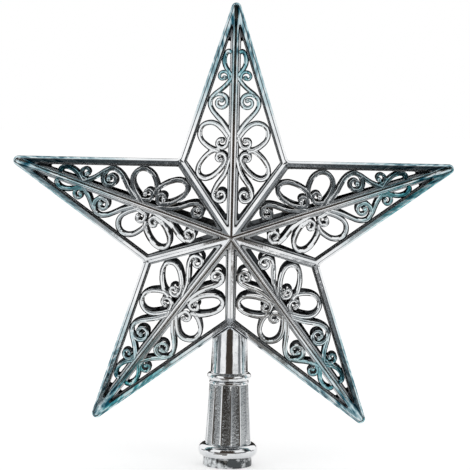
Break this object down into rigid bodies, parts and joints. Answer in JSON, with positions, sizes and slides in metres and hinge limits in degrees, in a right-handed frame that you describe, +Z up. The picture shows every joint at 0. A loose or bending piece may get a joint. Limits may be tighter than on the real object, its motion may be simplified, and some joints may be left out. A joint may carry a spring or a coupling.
{
  "type": "tree topper star",
  "caption": "Openwork tree-topper star of silver-plated plastic with scroll filigree and teal tips, on a hollow fluted socket that slips over a tree's leader.",
  "frame": {"origin": "middle of the socket's foot ring, in the plane that the ring stands on", "axes": "+Z up along the socket towards the top tip, -Y towards the front of the star, +X to the viewer's right"},
  "size_m": [0.2, 0.0456, 0.2111],
  "materials": {
    "plated_frame": "vacuum-metallised plastic, mirror silver, with teal lacquer fading in towards the arm tips",
    "plated_scrolls": "vacuum-metallised plastic, mirror silver, with teal lacquer fading in towards the arm tips",
    "plated_socket": "vacuum-metallised plastic, mirror silver"
  },
  "bodies": {
    "root": {"front_frame": "plated_frame", "back_frame": "plated_frame", "socket_neck": "plated_socket", "socket_skirt": "plated_socket", "front_scrolls_top_left": "plated_scrolls", "front_scrolls_top_right": "plated_scrolls", "front_scrolls_right_left": "plated_scrolls", "front_scrolls_right_right": "plated_scrolls", "front_scrolls_lower_right_left": "plated_scrolls", "front_scrolls_lower_right_right": "plated_scrolls", "front_scrolls_lower_left_left": "plated_scrolls", "front_scrolls_lower_left_right": "plated_scrolls", "front_scrolls_left_left": "plated_scrolls", "front_scrolls_left_right": "plated_scrolls", "back_scrolls_top_left": "plated_scrolls", "back_scrolls_top_right": "plated_scrolls", "back_scrolls_right_left": "plated_scrolls", "back_scrolls_right_right": "plated_scrolls", "back_scrolls_lower_right_left": "plated_scrolls", "back_scrolls_lower_right_right": "plated_scrolls", "back_scrolls_lower_left_left": "plated_scrolls", "back_scrolls_lower_left_right": "plated_scrolls", "back_scrolls_left_left": "plated_scrolls", "back_scrolls_left_right": "plated_scrolls"}
  },
  "joints": []
}
